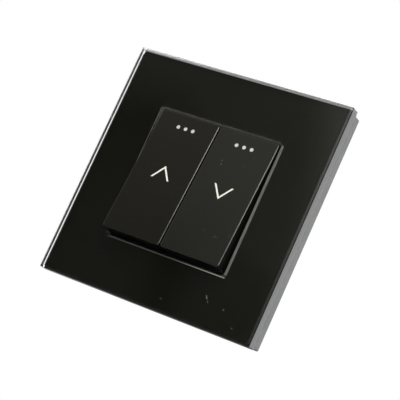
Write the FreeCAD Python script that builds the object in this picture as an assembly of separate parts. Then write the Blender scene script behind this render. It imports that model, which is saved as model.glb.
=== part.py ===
"""A roller shutter switch for a wall box: a glass panel with an up key and a down key.

Millimetres. X runs to the right and Z up along the wall, and the switch faces -Y.
The origin is the middle of the fixing slots, in the plane of the wall.
Depths called "out" are distances from the wall towards the room, so a point at out = 8
lies at y = -8, and the parts inside the wall box have negative values.
"""
import FreeCAD, Part
import math
import os

# How cutting shapes run past a face, and how deep joined ones sink into each other
past = 1.0
bite = 0.5
tolerance = 0.01

# The glass and what is behind it
panel_size = 86.0
panel_corner = 0.5
glass_thickness = 4.0
glass_arris = 0.8
film_thickness = 0.3
film_inset = 0.4
tape_thickness = 0.3
tape_width = 9.0
opening_size = 48.4
opening_corner = 1.0
opening_arris = 0.3

# The grey frame
frame_depth = 3.4
frame_height = 84.0
frame_drop = 0.5
frame_wall = 2.2
frame_web = 1.4
catch_height = 0.6
catch_width = 6.0
catch_reach = 0.8
catch_place = 14.0
catch_gap = 0.1
catch_step = 0.2
catch_bite = 0.2

# The keys
key_side_gap = 0.6
key_end_gap = 0.875
key_gap = 0.5
key_tilt = 5.7
key_drop = 0.2
pivot_depth = 2.9
face_height = 5.0
cap_face = 1.5
cap_wall = 1.2
cap_corner = 0.8
cap_edge = 0.35
skirt_clearance = 0.4

# The marks on the keys
dot_radius = 0.7
dot_pitch = 3.0
dot_from_end = 4.8
pipe_play = 0.02
pipe_margin = 1.4
pipe_bar = 1.2
arrow_width = 6.9
arrow_height = 4.8
arrow_stroke = 0.7
arrow_rise = 1.15
arrow_depth = 0.6

# The rocker below each cap
carrier_plate = 1.5
carrier_margin = 2.0
cheek_thickness = 1.6
axle_radius = 1.2
axle_play = 0.05
hub_radius = 2.2
side_play = 0.2
pillar_thickness = 1.7
skirt_play = 0.4
nose_width = 3.0
nose_radius = 1.0
nose_drop = 4.0
foot_length = 1.6
foot_width = 2.0
foot_beyond_nose = 1.0
foot_gap = 0.125
stop_gap = 0.1
rib_thickness = 1.6
rib_height = 1.5
hook_width = 6.0
hook_thickness = 1.0
hook_barb = 0.5
hook_play = 0.05

# The plunger, its contacts and its spring
plunger_gap = 0.1
head_radius = 2.4
guide_play = 0.06
guide_wall = 1.3
guide_depth = 4.0
flange_radius = 3.3
flange_thickness = 1.0
flange_gap = 0.15
stem_radius = 1.5
stem_clearance = 1.0
bridge_width = 4.5
bridge_thickness = 0.6
bridge_margin = 0.1
tip_spread = 5.2
tip_radius = 1.2
tip_thickness = 0.8
contact_margin = 0.06
strip_thickness = 0.8
strip_width = 3.0
strip_play = 0.3
leg_inset = 1.1
spring_length = 8.25
spring_radius = 2.4
spring_wire = 0.6
spring_turns = 5
spring_play = 0.05
tower_gap = 0.2
peg_radius = 1.6
peg_height = 1.6

# The steel bracket
bracket_size = 70.0
bracket_corner = 4.0
bracket_thickness = 1.2
bracket_gap = 0.2
tab_width = 12.0
tab_hold = 0.4
slot_spacing = 60.0
slot_width = 4.2
slot_length = 7.0

# The mechanism's housing
rim_play = 0.1
rim_wall = 0.7
rim_gap = 0.4
cover_corner = 1.8
pad_thickness = 1.2
pad_margin = 1.5
tab_play = 0.1
base_width = 42.0
base_height = 40.0
base_depth = 24.0
base_wall = 1.6
pocket_depth = 0.8
base_corner = 1.7
base_inner_corner = 0.5
boss_radius = 2.2
boss_side_inset = 3.4
boss_low_inset = 3.4
boss_high_inset = 4.6
housing_screw_radius = 1.2
housing_screw_length = 9.0
housing_head_radius = 2.2
housing_head_height = 1.3
drive_slot = 0.6

# The terminals
terminal_width = 6.5
terminal_length = 8.0
terminal_height = 6.1
wire_radius = 1.4
wire_depth = 6.5
wire_wall = 0.7
entry_play = 0.2
clamp_radius = 1.5
clamp_head_radius = 1.9
clamp_head_height = 1.2
clamp_play = 0.05
clamp_retract = 0.1
output_gap = 0.65
neutral_offset = 0.7

# The small lamp board behind the dots
board_thickness = 1.0
board_foot_gap = 1.2
board_skirt_gap = 0.9
board_notch_width = 4.0
board_bridge = 1.6
screw_notch_play = 0.1
led_length = 1.6
led_width = 0.8
led_height = 0.7
resistor_length = 2.0
resistor_width = 1.25
resistor_height = 0.6
resistor_place = 5.0
pin_radius = 0.45
pin_play = 0.15
pin_proud = 0.1
neutral_pin_inset = 1.1

# Planes, as distances out from the wall
tape_back = frame_depth
film_back = tape_back + tape_thickness
glass_back = film_back + film_thickness
glass_front = glass_back + glass_thickness
pivot_out = glass_front - pivot_depth
floor_front = bracket_thickness
pad_front = floor_front + pad_thickness
base_floor = -(base_depth - base_wall)
pocket_floor = base_floor - pocket_depth

# The keys' places
tilt = math.radians(key_tilt)
press_angle = 2 * tilt
key_width = (opening_size - 2 * key_side_gap - key_gap) / 2
key_length = opening_size - 2 * key_end_gap
key_x = (key_gap + key_width) / 2
pivot_z = -key_drop
cap_under = face_height - cap_face
skirt_foot = floor_front + skirt_clearance - pivot_out + key_length / 2 * math.sin(tilt)
skirt_low = skirt_foot / math.cos(tilt)
plate_under = cap_under - carrier_plate
pillar_outer = key_width / 2 - cap_wall - skirt_play
pillar_inner = pillar_outer - pillar_thickness
carrier_half = pillar_inner - side_play
dot_u = key_length / 2 - dot_from_end

# The housing's inner walls, and what they leave for the plungers
base_inner_x = base_width / 2 - base_wall
base_inner_z = base_height / 2 - base_wall
boss_x = base_width / 2 - boss_side_inset
boss_low_z = boss_low_inset - base_height / 2
boss_high_z = base_height / 2 - boss_high_inset
boss_places = [(side * boss_x, z) for side in (-1, 1) for z in (boss_low_z, boss_high_z)]
tab_inner = base_inner_x - tab_hold
spring_outer = spring_radius + spring_wire / 2
terminal_inner_z = base_inner_z - terminal_height
nose_arm = terminal_inner_z - tower_gap - spring_outer - key_drop
plunger_x = base_inner_x / 2
nose_x = plunger_x - key_x
foot_arm = nose_arm + foot_beyond_nose
outer_foot_x = tab_inner - pad_margin - foot_gap - foot_width / 2 - key_x
inner_foot_x = nose_x - head_radius - guide_play - foot_gap - foot_width / 2
carrier_length = 2 * (nose_arm + nose_radius + carrier_margin)

# The plunger's places
nose_low_out = pivot_out - nose_drop * math.cos(tilt) + nose_arm * math.sin(tilt) - nose_radius
plunger_z = pivot_z - nose_arm
plunger_top = nose_low_out - plunger_gap
plunger_travel = nose_arm * press_angle
flange_top = -guide_depth - flange_gap
bridge_top = flange_top - flange_thickness
bridge_under = bridge_top - bridge_thickness
moving_tip_low = bridge_under - tip_thickness
fixed_tip_top = moving_tip_low - plunger_travel - contact_margin
strip_front = fixed_tip_top - tip_thickness
strip_back = strip_front - strip_thickness
spring_seat = bridge_under - spring_length
peg_top = spring_seat + peg_height
stem_end = peg_top + plunger_travel + stem_clearance
bridge_length = 2 * (tip_spread + tip_radius + bridge_margin)

# The housing's places
rim_inner = opening_size / 2 + rim_play
rim_outer = rim_inner + rim_wall
rim_front = film_back - rim_gap
bracket_opening = 2 * (rim_outer + bracket_gap)
catch_front = rim_front - catch_step
catch_back = catch_front - catch_height

# The terminals' places
terminal_front = base_floor + terminal_length
wire_z = terminal_inner_z + wire_wall + wire_radius
output_place = boss_x - boss_radius - output_gap - terminal_width / 2
neutral_place = plunger_x - neutral_offset
leg_high = -terminal_inner_z - leg_inset
leg_low = leg_high - strip_thickness
board_low = foot_arm + foot_length / 2 + board_foot_gap
board_high = key_length / 2 - cap_wall - key_drop - board_skirt_gap
line_pin_z = board_low + board_bridge / 2
neutral_pin_z = terminal_inner_z + neutral_pin_inset

NODES = {}


def point(x, out, z):
    """A point at a distance out from the wall."""
    return FreeCAD.Vector(x, -out, z)


def block(x0, x1, back, front, z0, z1):
    """A box between two distances out from the wall."""
    return Part.makeBox(x1 - x0, front - back, z1 - z0, point(x0, front, z0))


def centred(width, back, front, height, x=0.0, z=0.0):
    """A box centred on x and z."""
    return block(x - width / 2, x + width / 2, back, front, z - height / 2, z + height / 2)


def standing_edges(shape):
    """The edges of a shape that stand square to the wall."""
    return [edge for edge in shape.Edges if edge.Length - edge.BoundBox.YLength < tolerance]


def plate(width, height, back, front, corner, x=0.0, z=0.0):
    """A plate with round corners, parallel to the wall."""
    shape = centred(width, back, front, height, x, z)
    return shape.makeFillet(corner, standing_edges(shape))


def rod(radius, back, front, x, z):
    """A round rod that stands square to the wall."""
    return Part.makeCylinder(radius, front - back, point(x, front, z), FreeCAD.Vector(0, 1, 0))


def axle(radius, x0, x1, out, z):
    """A round rod along X."""
    return Part.makeCylinder(radius, x1 - x0, point(x0, out, z), FreeCAD.Vector(1, 0, 0))


def post(radius, x, out, z0, z1):
    """A round rod along Z."""
    return Part.makeCylinder(radius, z1 - z0, point(x, out, z0), FreeCAD.Vector(0, 0, 1))


def slot(back, front, x, z, along_x):
    """A slot with round ends, centred on x and z."""
    width = slot_length if along_x else slot_width
    height = slot_width if along_x else slot_length
    reach = (slot_length - slot_width) / 2
    straight = centred(width - slot_width if along_x else width, back, front,
                       height if along_x else height - slot_width, x, z)
    steps = (-reach, reach)
    ends = [rod(slot_width / 2, back, front, x + s, z) if along_x else
            rod(slot_width / 2, back, front, x, z + s) for s in steps]
    return straight.multiFuse(ends)


def front_edges(shape, out):
    """The edges of a shape that lie in one plane parallel to the wall."""
    return [edge for edge in shape.Edges
            if abs(edge.BoundBox.YMin + out) < tolerance and abs(edge.BoundBox.YMax + out) < tolerance]


def opening_edges(shape):
    """The front edges round the glass's cut-out."""
    limit = opening_size / 2 + tolerance
    return [edge for edge in front_edges(shape, glass_front)
            if edge.BoundBox.XMax < limit and edge.BoundBox.XMin > -limit
            and edge.BoundBox.ZMax < limit and edge.BoundBox.ZMin > -limit]


def polygon(points, back, front):
    """A prism on an outline of (x, z) points."""
    corners = [point(x, front, z) for x, z in points]
    face = Part.Face(Part.makePolygon(corners + corners[:1]))
    return face.extrude(FreeCAD.Vector(0, front - back, 0))


def joined(*shapes):
    """One solid of several touching ones."""
    return shapes[0].multiFuse(list(shapes[1:])).removeSplitter()


def on_key(shape, side):
    """Moves a shape from the key's own frame, whose origin is its pivot, to its place at rest."""
    placed = shape.copy()
    placed.rotate(FreeCAD.Vector(0, 0, 0), FreeCAD.Vector(1, 0, 0), -key_tilt)
    placed.translate(point(side * key_x, pivot_out, pivot_z))
    return placed


# The panel

def glass_panel():
    """The glass plate, with its arris and its square cut-out."""
    plain = centred(panel_size, glass_back, glass_front, panel_size)
    bevelled = plain.makeChamfer(glass_arris, front_edges(plain, glass_front))
    glass = bevelled.makeFillet(panel_corner, standing_edges(bevelled))
    hole = plate(opening_size, opening_size, glass_back - past, glass_front + past, opening_corner)
    glass = glass.cut(hole)
    return glass.makeChamfer(opening_arris, opening_edges(glass))


def backing_film():
    """The black film on the back of the glass."""
    size = panel_size - 2 * film_inset
    hole = opening_size + 2 * rim_play
    film = plate(size, size, film_back, glass_back, panel_corner)
    return film.cut(plate(hole, hole, film_back - past, glass_back + past, opening_corner))


def panel_adhesive():
    """The tape ring between the frame and the film."""
    inner = 2 * (rim_outer + catch_reach + 2 * catch_gap)
    size = inner + 2 * tape_width
    tape = plate(size, size, tape_back, film_back, cover_corner)
    return tape.cut(plate(inner, inner, tape_back - past, film_back + past, cover_corner))


def panel_frame():
    """The grey frame: a shallow tray with a web that clips over the cover's rim."""
    outer = plate(panel_size, frame_height, 0, frame_depth, panel_corner, 0, -frame_drop)
    inner_width = panel_size - 2 * frame_wall
    inner_height = frame_height - 2 * frame_wall
    web_back = frame_depth - frame_web
    hollow = plate(inner_width, inner_height, -past, web_back, panel_corner, 0, -frame_drop)
    window = 2 * (rim_outer + catch_reach + catch_gap)
    hole = plate(window, window, web_back - past, frame_depth + past, cover_corner)
    frame = outer.cut(hollow).cut(hole)
    barb_front = catch_back - catch_gap
    for side in (-1, 1):
        for z in (-catch_place, catch_place):
            barb = centred(catch_reach + catch_gap, web_back, barb_front, catch_width,
                           side * (window / 2 - (catch_reach + catch_gap) / 2 + catch_bite), z)
            frame = frame.fuse(barb)
    return frame.removeSplitter()


# The bracket

def mounting_bracket():
    """The steel plate, with four slots and two tabs that the housing clamps."""
    sheet = plate(bracket_size, bracket_size, 0, bracket_thickness, bracket_corner)
    hole = plate(bracket_opening, bracket_opening, -past, bracket_thickness + past, cover_corner)
    sheet = sheet.cut(hole)
    for side in (-1, 1):
        ends = sorted((side * tab_inner, side * (bracket_opening / 2 + past)))
        tab = block(ends[0], ends[1], 0, bracket_thickness, -tab_width / 2, tab_width / 2)
        sheet = sheet.fuse(tab)
        sheet = sheet.cut(slot(-past, bracket_thickness + past, side * slot_spacing / 2, 0, True))
        sheet = sheet.cut(slot(-past, bracket_thickness + past, 0, side * slot_spacing / 2, False))
    return sheet.removeSplitter()


# The housing

def bearing_pillar(x, foot):
    """A pillar with a round head, bored for a stub axle."""
    x0 = x - pillar_thickness / 2
    x1 = x + pillar_thickness / 2
    leg = block(x0, x1, foot, pivot_out, pivot_z - hub_radius, pivot_z + hub_radius)
    head = axle(hub_radius, x0, x1, pivot_out, pivot_z)
    bore = axle(axle_radius + axle_play, x0 - past, x1 + past, pivot_out, pivot_z)
    return leg.fuse(head).cut(bore)


def cover_shell():
    """The cover's floor with its rim, its catches and the notches for the bracket's tabs."""
    outer = plate(2 * rim_outer, 2 * rim_outer, 0, rim_front, cover_corner)
    well = plate(2 * rim_inner, 2 * rim_inner, floor_front, rim_front + past, opening_corner)
    shell = outer.cut(well)
    for side in (-1, 1):
        notch_ends = sorted((side * (tab_inner - tab_play), side * (rim_outer + past)))
        notch_half = tab_width / 2 + tab_play
        shell = shell.cut(block(notch_ends[0], notch_ends[1], -past, floor_front, -notch_half, notch_half))
        pad_ends = sorted((side * (tab_inner - pad_margin), side * (rim_inner + rim_wall / 2)))
        pad_half = tab_width / 2 + pad_margin
        shell = shell.fuse(block(pad_ends[0], pad_ends[1], floor_front, pad_front, -pad_half, pad_half))
        for z in (-catch_place, catch_place):
            catch_x = side * (rim_outer + (catch_reach - catch_bite) / 2)
            catch = centred(catch_reach + catch_bite, catch_back, catch_front, catch_width, catch_x, z)
            shell = shell.fuse(catch)
    return shell


def mechanism_cover():
    """The black tray behind the keys, with bearings, plunger guides and screw holes."""
    cover = cover_shell()
    middle = (pillar_inner + pillar_outer) / 2
    for side in (-1, 1):
        x = side * plunger_x
        guide = rod(head_radius + guide_play + guide_wall, -guide_depth, floor_front, x, plunger_z)
        cover = cover.multiFuse([bearing_pillar(side * (key_x + middle), pad_front - bite),
                                 bearing_pillar(side * (key_x - middle), floor_front - bite),
                                 guide])
        bore = rod(head_radius + guide_play, -guide_depth - past, floor_front + past, x, plunger_z)
        cover = cover.cut(bore)
    for x, z in boss_places:
        cover = cover.cut(rod(housing_screw_radius + pin_play, -past, floor_front + past, x, z))
    for x, z in ((0, line_pin_z), (neutral_place, neutral_pin_z)):
        cover = cover.cut(rod(pin_radius + pin_play, -past, floor_front + past, x, z))
    return cover.removeSplitter()


def spring_tower(x):
    """A block set in the base's floor that carries a return spring round a peg."""
    low = -terminal_inner_z + tower_gap / 2
    high = plunger_z + spring_outer + spring_play
    half = spring_outer + spring_play
    tower = block(x - half, x + half, pocket_floor, spring_seat, low, high)
    return tower.fuse(rod(peg_radius, spring_seat - bite, peg_top, x, plunger_z))


def contact_supports():
    """The inserts set in the base's floor: the middle rib, the spring towers and the contacts' supports."""
    supports = [block(-rib_thickness / 2, rib_thickness / 2, pocket_floor, strip_back, plunger_z, line_pin_z)]
    for side in (-1, 1):
        ends = sorted((side * (plunger_x + tip_spread - tip_radius / 2), side * base_inner_x))
        supports.append(block(ends[0], ends[1], pocket_floor, strip_back,
                              plunger_z - strip_width / 2, plunger_z + strip_width / 2))
        supports.append(spring_tower(side * plunger_x))
    return Part.makeCompound(supports)


def screw_boss(x, z):
    """A corner boss with a pilot hole for a housing screw."""
    boss = rod(boss_radius, base_floor - bite, 0, x, z)
    x_ends = sorted((x, math.copysign(base_inner_x + base_wall / 2, x)))
    z_ends = sorted((z, math.copysign(base_inner_z + base_wall / 2, z)))
    corner = block(x_ends[0], x_ends[1], base_floor - bite, 0, z_ends[0], z_ends[1])
    return boss.fuse(corner)


def terminal_openings(x, sign):
    """The wire's way in through the floor, and the screw's through the wall."""
    entry = rod(wire_radius + entry_play, -base_depth - past, base_floor + past, x, sign * wire_z)
    inner = base_inner_z - past
    outer = base_height / 2 + past
    ends = sorted((sign * inner, sign * outer))
    access = post(clamp_head_radius + entry_play, x, terminal_front - terminal_length / 2, ends[0], ends[1])
    return entry.fuse(access)


def side_walls():
    """The room that the housing's four side walls take up."""
    outer = plate(base_width, base_height, base_floor, 0, base_corner)
    return outer.cut(plate(2 * base_inner_x, 2 * base_inner_z, base_floor - past, past, base_inner_corner))


def mechanism_shell():
    """The four side walls inside the wall box, held between the base and the cover."""
    shell = side_walls()
    for x, sign in terminal_places():
        shell = shell.cut(terminal_openings(x, sign))
    return shell.removeSplitter()


def mechanism_base():
    """The housing's back, with its corner bosses and the pockets of the supports."""
    base = plate(base_width, base_height, -base_depth, base_floor, base_corner)
    bosses = [screw_boss(x, z) for x, z in boss_places]
    base = base.multiFuse(bosses).cut(side_walls()).cut(contact_supports())
    for x, sign in terminal_places():
        base = base.cut(terminal_openings(x, sign))
    for x, z in boss_places:
        base = base.cut(rod(housing_screw_radius + clamp_play, -housing_screw_length, past, x, z))
    return base.removeSplitter()


def housing_screws():
    """The four screws that hold the base to the cover."""
    screws = []
    for x, z in boss_places:
        head = rod(housing_head_radius, floor_front, floor_front + housing_head_height, x, z)
        shank = rod(housing_screw_radius, floor_front - housing_screw_length, floor_front, x, z)
        drive = centred(2 * housing_head_radius, floor_front + housing_head_height - drive_slot,
                        floor_front + housing_head_height + past, drive_slot, x, z)
        screws.append(head.fuse(shank).cut(drive))
    return Part.makeCompound(screws)


# The keys

def arrow_outline(point_up):
    """A chevron's outline in the key's own plane, pointing up or down."""
    half = arrow_width / 2
    rise = arrow_height / 2
    slant = math.hypot(half, arrow_height)
    inset_z = arrow_stroke * slant / half
    outline = [(-half, -rise), (0, rise), (half, -rise)]
    cut_x = arrow_stroke * slant / arrow_height
    inner = [(half - cut_x, -rise), (0, rise - inset_z), (-half + cut_x, -rise)]
    sign = 1 if point_up else -1
    return [(x, arrow_rise + sign * z) for x, z in outline + inner]


def arrow(side):
    """The pale chevron let into a cap: up on the left key, down on the right one."""
    return polygon(arrow_outline(side < 0), face_height - arrow_depth, face_height)


def dot_rods(radius, back, front):
    """Three short rods at the dots of a key."""
    return [rod(radius, back, front, step * dot_pitch, dot_u) for step in (-1, 0, 1)]


def cap_hook(sign):
    """A hook below the cap that grips an end of the rocker's plate."""
    face = carrier_length / 2 + hook_play
    low = plate_under - hook_play - hook_thickness
    leg_ends = sorted((sign * face, sign * (face + hook_thickness)))
    leg = block(-hook_width / 2, hook_width / 2, low, cap_under + bite, leg_ends[0], leg_ends[1])
    barb_ends = sorted((sign * (face - hook_barb), sign * (face + hook_thickness / 2)))
    barb = block(-hook_width / 2, hook_width / 2, low, low + hook_thickness, barb_ends[0], barb_ends[1])
    return leg.fuse(barb)


def key_cap(side):
    """A rocker cap: a face with a skirt all round, two hooks and the openings for its marks."""
    body = plate(key_width, key_length, skirt_low, face_height, cap_corner)
    body = body.makeFillet(cap_edge, front_edges(body, face_height))
    hollow = plate(key_width - 2 * cap_wall, key_length - 2 * cap_wall, skirt_low - past, cap_under,
                   cap_corner / 2)
    cap = body.cut(hollow)
    cap = cap.multiFuse([cap_hook(-1), cap_hook(1)])
    for hole in dot_rods(dot_radius, cap_under - past, face_height + past):
        cap = cap.cut(hole)
    return cap.cut(arrow(side)).removeSplitter()


def light_pipe():
    """The clear bar behind a cap's face, with a peg for each dot."""
    bar = centred(2 * (dot_pitch + pipe_margin), cap_under - pipe_bar, cap_under, 2 * pipe_margin, 0, dot_u)
    return joined(bar, *dot_rods(dot_radius - pipe_play, cap_under - bite, face_height))


def carrier_end(sign):
    """A cheek of the rocker, with its stub axle."""
    ends = sorted((sign * (carrier_half - cheek_thickness), sign * carrier_half))
    cheek = block(ends[0], ends[1], 0, plate_under + bite, -hub_radius, hub_radius)
    hub = axle(hub_radius, ends[0], ends[1], 0, 0)
    stub_ends = sorted((sign * (carrier_half - bite), sign * (pillar_outer - stop_gap)))
    stub = axle(axle_radius, stub_ends[0], stub_ends[1], 0, 0)
    return cheek.multiFuse([hub, stub])


def stop_foot(x, sign):
    """A foot that meets the cover's floor at one end of the rocker's swing."""
    reach = foot_arm + foot_length / 2
    tip_out = floor_front + stop_gap - pivot_out + reach * math.sin(tilt)
    return centred(foot_width, tip_out / math.cos(tilt), plate_under + bite, foot_length, x, sign * foot_arm)


def key_carrier(side):
    """The rocker: a plate below the cap, with its axles, stop feet and nose."""
    body = centred(2 * carrier_half, plate_under, cap_under, carrier_length)
    x = side * nose_x
    nose = centred(nose_width, -nose_drop, plate_under + bite, 2 * nose_radius, x, -nose_arm)
    tip = axle(nose_radius, x - nose_width / 2, x + nose_width / 2, -nose_drop, -nose_arm)
    rib = block(-rib_thickness / 2, rib_thickness / 2, plate_under - rib_height, plate_under + bite,
                -nose_arm, nose_arm)
    feet = [stop_foot(side * place, sign) for place in (inner_foot_x, outer_foot_x) for sign in (-1, 1)]
    return joined(body, nose, tip, rib, carrier_end(-1), carrier_end(1), *feet)


# What each rocker presses

def plunger(x):
    """The pin below a nose: a round head in its guide, a flange and a stem."""
    head = rod(head_radius, flange_top - bite, plunger_top, x, plunger_z)
    flange = rod(flange_radius, bridge_top, flange_top, x, plunger_z)
    stem = rod(stem_radius, stem_end, bridge_top + bite, x, plunger_z)
    return joined(head, flange, stem)


def bridge(x):
    """The moving contact bar, round the plunger's stem."""
    bar = centred(bridge_length, bridge_under, bridge_top, bridge_width, x, plunger_z)
    return bar.cut(rod(stem_radius + spring_play, bridge_under - past, bridge_top + past, x, plunger_z))


def tips(x, back, front):
    """The two silver tips at the ends of a contact bar."""
    return [rod(tip_radius, back, front, x + step * tip_spread, plunger_z) for step in (-1, 1)]


def return_spring(x):
    """A coil spring between the bridge and its seat, wound as an unbroken tube."""
    turn_step = 0.25
    low = spring_seat + spring_wire / 2 + spring_play
    climb = spring_length - spring_wire - 2 * spring_play
    pitch = climb / spring_turns
    radius = spring_radius

    def at(turn):
        angle = 2 * math.pi * turn
        return point(x + radius * math.cos(angle), low + pitch * turn, plunger_z + radius * math.sin(angle))

    starts = [step * turn_step for step in range(round(spring_turns / turn_step))]
    arcs = [Part.Arc(at(t), at(t + turn_step / 2), at(t + turn_step)).toShape() for t in starts]
    path = Part.Wire(arcs)
    heading = arcs[0].tangentAt(arcs[0].FirstParameter)
    ring = Part.Wire([Part.makeCircle(spring_wire / 2, at(0), heading)])
    return path.makePipeShell([ring], True, False)


# The fixed contacts and the terminals

def terminal_places():
    """Where each terminal stands: its x, and whether it is at the bottom or the top."""
    return [(0, -1), (neutral_place, 1), (-output_place, -1), (output_place, -1)]


def common_bar():
    """The strip from the line terminal to both switches and to the lamp board's pin."""
    half = plunger_x - tip_spread + tip_radius
    across = block(-half, half, strip_back, strip_front, plunger_z - bridge_width / 2,
                   plunger_z + bridge_width / 2)
    along = block(-strip_width / 2, strip_width / 2, strip_back, strip_front,
                  leg_low, line_pin_z + strip_width / 2)
    leg = block(-strip_width / 2, strip_width / 2, terminal_front, strip_front, leg_low, leg_high)
    return joined(across, along, leg)


def output_contact(side):
    """The strip from a fixed tip down to its output terminal."""
    tip_x = plunger_x + tip_spread
    pad_ends = sorted((side * (tip_x - tip_radius), side * (tip_x + tip_radius)))
    run_top = plunger_z - spring_outer - strip_play
    pad = block(pad_ends[0], pad_ends[1], strip_back, strip_front, run_top - strip_play,
                plunger_z + bridge_width / 2)
    run_ends = sorted((side * (output_place - strip_width / 2), side * (tip_x + tip_radius / 2)))
    run = block(run_ends[0], run_ends[1], strip_back, strip_front, leg_low, run_top)
    leg_ends = sorted((side * (output_place - strip_width / 2), side * (output_place + strip_width / 2)))
    leg = block(leg_ends[0], leg_ends[1], terminal_front, strip_front, leg_low, leg_high)
    return joined(pad, run, leg)


def terminal(x, sign):
    """A brass pillar terminal: a wire hole from behind and a screw hole across it."""
    ends = sorted((sign * terminal_inner_z, sign * base_inner_z))
    body = block(x - terminal_width / 2, x + terminal_width / 2, base_floor, terminal_front, ends[0], ends[1])
    wire_hole = rod(wire_radius, base_floor - past, base_floor + wire_depth, x, sign * wire_z)
    screw_ends = sorted((sign * wire_z, sign * (base_inner_z + past)))
    screw_hole = post(clamp_radius + clamp_play, x, terminal_front - terminal_length / 2,
                      screw_ends[0], screw_ends[1])
    return body.cut(wire_hole).cut(screw_hole)


def terminal_screws():
    """The screw of each terminal, backed off clear of the wire hole."""
    screws = []
    out = terminal_front - terminal_length / 2
    for x, sign in terminal_places():
        tip = wire_z + wire_radius + clamp_retract
        under_head = base_inner_z + clamp_retract
        shank_ends = sorted((sign * tip, sign * (under_head + bite)))
        head_ends = sorted((sign * under_head, sign * (under_head + clamp_head_height)))
        shank = post(clamp_radius, x, out, shank_ends[0], shank_ends[1])
        head = post(clamp_head_radius, x, out, head_ends[0], head_ends[1])
        drive_z = sign * (under_head + clamp_head_height)
        drive = centred(2 * clamp_head_radius, out - drive_slot / 2, out + drive_slot / 2,
                        drive_slot, x, drive_z)
        screws.append(head.fuse(shank).cut(drive))
    return Part.makeCompound(screws)


# The lamp board

def led_board():
    """The circuit board on the cover's floor, notched for the caps' inner skirts and for two screws."""
    front = floor_front + board_thickness
    board = block(-boss_x, boss_x, floor_front, front, board_low, board_high)
    notch = block(-board_notch_width / 2, board_notch_width / 2, floor_front - past, front + past,
                  board_low + board_bridge, board_high + past)
    board = board.cut(notch)
    for side in (-1, 1):
        head_room = housing_head_radius + screw_notch_play
        board = board.cut(rod(head_room, floor_front - past, front + past, side * boss_x, boss_high_z))
    for x, z in ((0, line_pin_z), (neutral_place, neutral_pin_z)):
        board = board.cut(rod(pin_radius + pipe_play, floor_front - past, front + past, x, z))
    return board


def dot_places():
    """Where each lamp stands, straight behind its dot with the keys at rest."""
    z = pivot_z + dot_u * math.cos(tilt) + cap_under * math.sin(tilt)
    return [(side * key_x + step * dot_pitch, z) for side in (-1, 1) for step in (-1, 0, 1)]


def indicator_leds():
    """Six small lamps, one behind each dot."""
    back = floor_front + board_thickness
    lamps = [centred(led_width, back, back + led_height, led_length, x, z) for x, z in dot_places()]
    return Part.makeCompound(lamps)


def led_resistors():
    """The lamps' resistors on the board's lower strip."""
    back = floor_front + board_thickness
    z = board_low + board_bridge
    bodies = [centred(resistor_length, back, back + resistor_height, resistor_width, x, z)
              for x in (-resistor_place, resistor_place)]
    return Part.makeCompound(bodies)


def board_pins():
    """The two pins that feed the board, from the common bar and the neutral terminal."""
    front = floor_front + board_thickness + pin_proud
    line_pin = rod(pin_radius, strip_front, front, 0, line_pin_z)
    neutral_pin = rod(pin_radius, terminal_front, front, neutral_place, neutral_pin_z)
    return Part.makeCompound([line_pin, neutral_pin])


def build_panel():
    """The pieces that come off the wall with the glass."""
    NODES["glass_panel"] = glass_panel()
    NODES["backing_film"] = backing_film()
    NODES["panel_adhesive"] = panel_adhesive()
    NODES["panel_frame"] = panel_frame()


def build_housing():
    """The bracket, the housing and everything fixed in it."""
    NODES["mounting_bracket"] = mounting_bracket()
    NODES["mechanism_cover"] = mechanism_cover()
    NODES["mechanism_shell"] = mechanism_shell()
    NODES["mechanism_base"] = mechanism_base()
    NODES["contact_supports"] = contact_supports()
    NODES["housing_screws"] = housing_screws()
    NODES["common_bar"] = common_bar()
    fixed = tips(-plunger_x, strip_front, fixed_tip_top) + tips(plunger_x, strip_front, fixed_tip_top)
    NODES["fixed_tips"] = Part.makeCompound(fixed)
    names = ("line_terminal", "neutral_terminal", "up_terminal", "down_terminal")
    for name, (x, sign) in zip(names, terminal_places()):
        NODES[name] = terminal(x, sign)
    NODES["terminal_screws"] = terminal_screws()
    NODES["led_board"] = led_board()
    NODES["indicator_leds"] = indicator_leds()
    NODES["led_resistors"] = led_resistors()
    NODES["board_pins"] = board_pins()


def build_key(name, side):
    """One key with its rocker, plunger, contacts and spring."""
    x = side * plunger_x
    NODES[name + "_key_cap"] = on_key(key_cap(side), side)
    NODES[name + "_arrow"] = on_key(arrow(side), side)
    NODES[name + "_light_pipe"] = on_key(light_pipe(), side)
    NODES[name + "_key_carrier"] = on_key(key_carrier(side), side)
    NODES[name + "_plunger"] = plunger(x)
    NODES[name + "_bridge"] = bridge(x)
    NODES[name + "_bridge_tips"] = Part.makeCompound(tips(x, moving_tip_low, bridge_under))
    NODES[name + "_return_spring"] = return_spring(x)
    NODES[name + "_contact"] = output_contact(side)


def main():
    """Builds every node and writes one STEP file for each."""
    build_panel()
    build_housing()
    build_key("up", -1)
    build_key("down", 1)
    os.makedirs("parts", exist_ok=True)
    for name, shape in NODES.items():
        shape.exportStep("parts/" + name + ".step")
        print(name, shape.isValid(), len(shape.Solids), round(shape.Volume, 2))
    print("pivot out", round(pivot_out, 3), "press angle", round(math.degrees(press_angle), 3))
    print("plunger travel", round(plunger_travel, 4), "arm", nose_arm)


main()
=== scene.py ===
"""The roller shutter switch, finished for the camera.

Everything is in metres in the part's own frame: X to the right and Z up along the wall,
and the glass faces -Y. The solid nodes keep their shapes and get their finishes here.
The wound springs, the solder, the dust, the lint, the bead along the print's edge and the
copy of the print that is bonded to the glass are made here.
"""
import functools
import logging
import math
from dataclasses import dataclass, field
from enum import Enum
from typing import Union

import bpy
from mathutils import Matrix, Vector


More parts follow.
